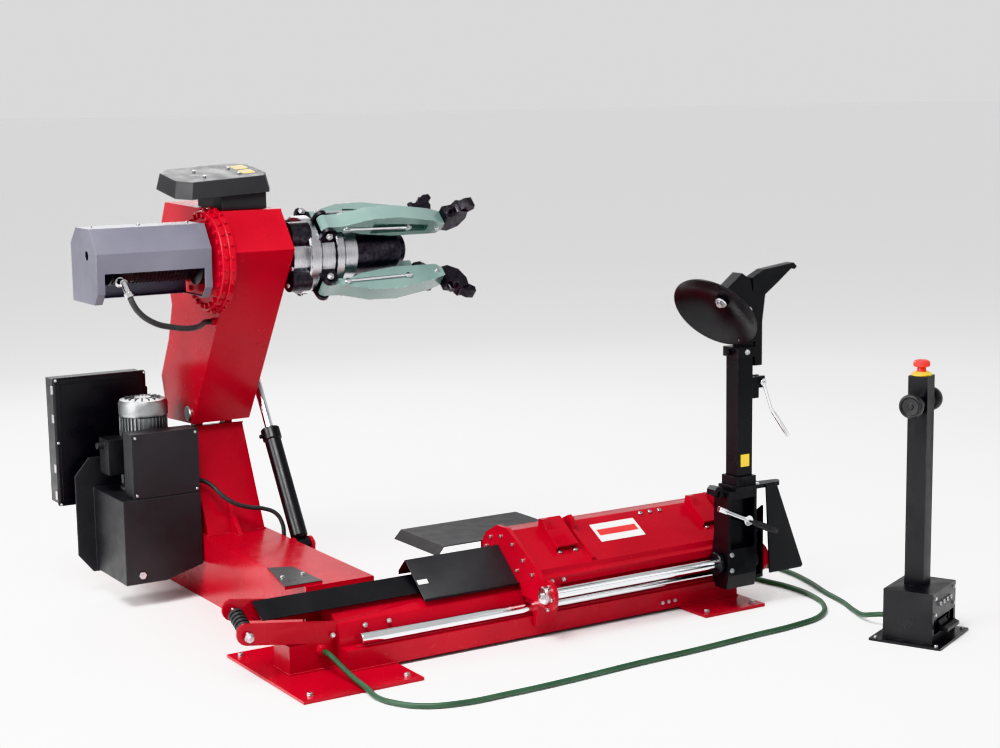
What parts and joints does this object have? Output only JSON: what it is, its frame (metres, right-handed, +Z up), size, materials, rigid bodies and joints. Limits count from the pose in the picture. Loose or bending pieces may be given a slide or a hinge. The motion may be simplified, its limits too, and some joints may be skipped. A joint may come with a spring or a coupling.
{
  "type": "tire changer machine",
  "caption": "Floor-standing heavy-duty tyre changer: lifting motor-driven jaw chuck, slant bed with sliding carriage and bead tool post, hydraulic unit, and a control pedestal on a cable.",
  "frame": {"origin": "on the floor at the bed's left end, on the line of the belt roller's ears", "axes": "+X along the bed's guide rods to the right, +Y from the operator's side to the back, +Z up"},
  "size_m": [2.6292, 2.8589, 1.7047],
  "materials": {
    "red_paint": "gloss powder coat, slightly orange-peeled, worn bright at bearing edges",
    "black_paint": "semi-gloss black powder coat",
    "dark_sheet": "satin charcoal powder coat on folded sheet",
    "grey_sheet": "satin blue-grey powder coat on folded sheet",
    "chrome": "hard chrome, ground bright",
    "steel": "turned steel",
    "jaw_coating": "polished grey-green coating",
    "aluminium": "cast and machined",
    "rubber": "hydraulic hose cover",
    "black_plastic": "moulded, fine grain",
    "stop_button_red": "moulded, glossy",
    "cable_green": "green cable sheath"
  },
  "bodies": {
    "base": {"bed_frame": "red_paint", "left_foot_plate": "red_paint", "right_foot_plate": "red_paint", "lower_guide_rod": "chrome", "rear_guide_rod": "chrome", "roller_pin": "steel", "deck_belt": "black_paint", "base_beam": "red_paint", "tower": "red_paint", "arm_pivot_pin": "steel", "cylinder_pin": "steel", "oil_tank": "black_paint", "valve_cover": "black_paint", "pump_motor": "aluminium", "valve_block": "aluminium", "terminal_box": "black_plastic", "electrical_box": "black_paint", "electrical_cover": "black_paint", "lift_hose": "rubber", "pedestal_stand": "black_paint", "control_cable": "cable_green"},
    "lift_arm": {"lift_arm": "red_paint", "gear_rings": "red_paint", "spindle_motor": "black_paint", "motor_cover": "grey_sheet", "motor_hose": "rubber", "top_guard": "dark_sheet"},
    "chuck": {"chuck_body": "steel", "chuck_core": "black_paint"},
    "jaw_1": {"jaw_arm_1": "jaw_coating", "jaw_tip_1": "black_paint"},
    "jaw_2": {"jaw_arm_2": "jaw_coating", "jaw_tip_2": "black_paint"},
    "jaw_3": {"jaw_arm_3": "jaw_coating", "jaw_tip_3": "black_paint"},
    "jaw_4": {"jaw_arm_4": "jaw_coating", "jaw_tip_4": "black_paint"},
    "lift_cylinder": {"cylinder_barrel": "black_paint"},
    "lift_piston": {"cylinder_rod": "chrome"},
    "carriage": {"carriage_shell": "red_paint", "left_end_plate": "red_paint", "right_end_plate": "red_paint", "tool_rod": "chrome", "hood": "dark_sheet", "rear_tray": "dark_sheet"},
    "tool_slide": {"tool_sleeve": "black_paint"},
    "tool_arm": {"tool_arm_body": "black_paint", "tool_top_plate": "black_paint", "tool_post": "black_paint"},
    "tilt_lever": {"tilt_lever": "chrome"},
    "lock_lever": {"head_lock_lever": "chrome"},
    "tool_head": {"tool_head": "black_paint", "hook_tool": "black_paint", "disc_axle": "steel"},
    "bead_disc": {"bead_disc": "black_paint"},
    "belt_roller": {"belt_roller": "black_plastic"},
    "foot_pedal": {"foot_pedal": "black_plastic"},
    "joystick": {"joystick_knob": "black_plastic"},
    "selector": {"selector_knob": "black_plastic"},
    "stop_button": {"stop_button": "stop_button_red"}
  },
  "joints": [
    {"name": "arm_lift", "type": "hinge", "parent": "base", "child": "lift_arm", "pos_m": [0.1275, 1.165, 0.72], "axis": [1, 0, 0], "range_deg": [-5, 45]},
    {"name": "cylinder_tilt", "type": "hinge", "parent": "base", "child": "lift_cylinder", "pos_m": [0.3, 0.79, 0.219], "axis": [1, 0, 0], "range_deg": [-1, 7.7]},
    {"name": "piston_slide", "type": "slide", "parent": "lift_cylinder", "child": "lift_piston", "axis": [0, 0.5288, 0.8487], "range_m": [-0.0775, 0.0095]},
    {"name": "chuck_spin", "type": "hinge", "parent": "lift_arm", "child": "chuck", "pos_m": [0.4, 0.845, 1.352], "axis": [1, 0, 0], "continuous": true},
    {"name": "jaw_1_open", "type": "hinge", "parent": "chuck", "child": "jaw_1", "pos_m": [0.405, 0.96379, 1.47079], "axis": [0, -0.7071, 0.7071], "range_deg": [-3, 10]},
    {"name": "jaw_2_open", "type": "hinge", "parent": "chuck", "child": "jaw_2", "pos_m": [0.405, 0.72621, 1.47079], "axis": [0, -0.7071, -0.7071], "range_deg": [-3, 10]},
    {"name": "jaw_3_open", "type": "hinge", "parent": "chuck", "child": "jaw_3", "pos_m": [0.405, 0.72621, 1.23321], "axis": [0, 0.7071, -0.7071], "range_deg": [-3, 10]},
    {"name": "jaw_4_open", "type": "hinge", "parent": "chuck", "child": "jaw_4", "pos_m": [0.405, 0.96379, 1.23321], "axis": [0, 0.7071, 0.7071], "range_deg": [-3, 10]},
    {"name": "carriage_slide", "type": "slide", "parent": "base", "child": "carriage", "axis": [1, 0, 0], "range_m": [-0.35, 0]},
    {"name": "tool_slide", "type": "slide", "parent": "carriage", "child": "tool_slide", "axis": [1, 0, 0], "range_m": [-0.7, 0]},
    {"name": "tool_arm_tilt", "type": "hinge", "parent": "tool_slide", "child": "tool_arm", "pos_m": [1.6, -0.28, 0.19], "axis": [1, 0, 0], "range_deg": [0, 20]},
    {"name": "tilt_lever_turn", "type": "hinge", "parent": "tool_arm", "child": "tilt_lever", "pos_m": [1.585, -0.34, 0.365], "axis": [0, 1, 0], "range_deg": [-25, 25]},
    {"name": "head_swivel", "type": "hinge", "parent": "tool_arm", "child": "tool_head", "pos_m": [1.608, -0.29, 0.99], "axis": [0, 0, 1], "range_deg": [0, 180]},
    {"name": "lock_lever_turn", "type": "hinge", "parent": "tool_arm", "child": "lock_lever", "pos_m": [1.696, -0.29, 0.872], "axis": [0, 1, 0], "range_deg": [-70, 0]},
    {"name": "disc_spin", "type": "hinge", "parent": "tool_head", "child": "bead_disc", "pos_m": [1.475, -0.31, 1.15], "axis": [-0.7392, -0.2398, -0.6293], "continuous": true},
    {"name": "roller_spin", "type": "hinge", "parent": "base", "child": "belt_roller", "pos_m": [-0.33, -0.029, 0.212], "axis": [0, 0.8944, 0.4472], "continuous": true},
    {"name": "pedal_press", "type": "hinge", "parent": "base", "child": "foot_pedal", "pos_m": [1.95712, -0.99388, 0.072], "axis": [0.9063, 0.4226, 0], "range_deg": [0, 8], "stiffness_Nm_per_rad": 15},
    {"name": "joystick_turn", "type": "hinge", "parent": "base", "child": "joystick", "pos_m": [1.83921, -0.95397, 0.852], "axis": [0.9063, 0.4226, 0], "range_deg": [-35, 35], "stiffness_Nm_per_rad": 0.5},
    {"name": "selector_turn", "type": "hinge", "parent": "base", "child": "selector", "pos_m": [2.00234, -0.8779, 0.852], "axis": [0.9063, 0.4226, 0], "range_deg": [-45, 45]},
    {"name": "stop_press", "type": "slide", "parent": "base", "child": "stop_button", "axis": [0, 0, 1], "range_m": [-0.006, 0], "stiffness_N_per_m": 1500}
  ],
  "couplings": [
    {"joint": "cylinder_tilt", "follows": "arm_lift", "ratio": 0.167},
    {"joint": "piston_slide", "follows": "arm_lift", "m_per_rad": -0.0968},
    {"joint": "jaw_2_open", "follows": "jaw_1_open", "ratio": 1},
    {"joint": "jaw_3_open", "follows": "jaw_1_open", "ratio": 1},
    {"joint": "jaw_4_open", "follows": "jaw_1_open", "ratio": 1}
  ]
}
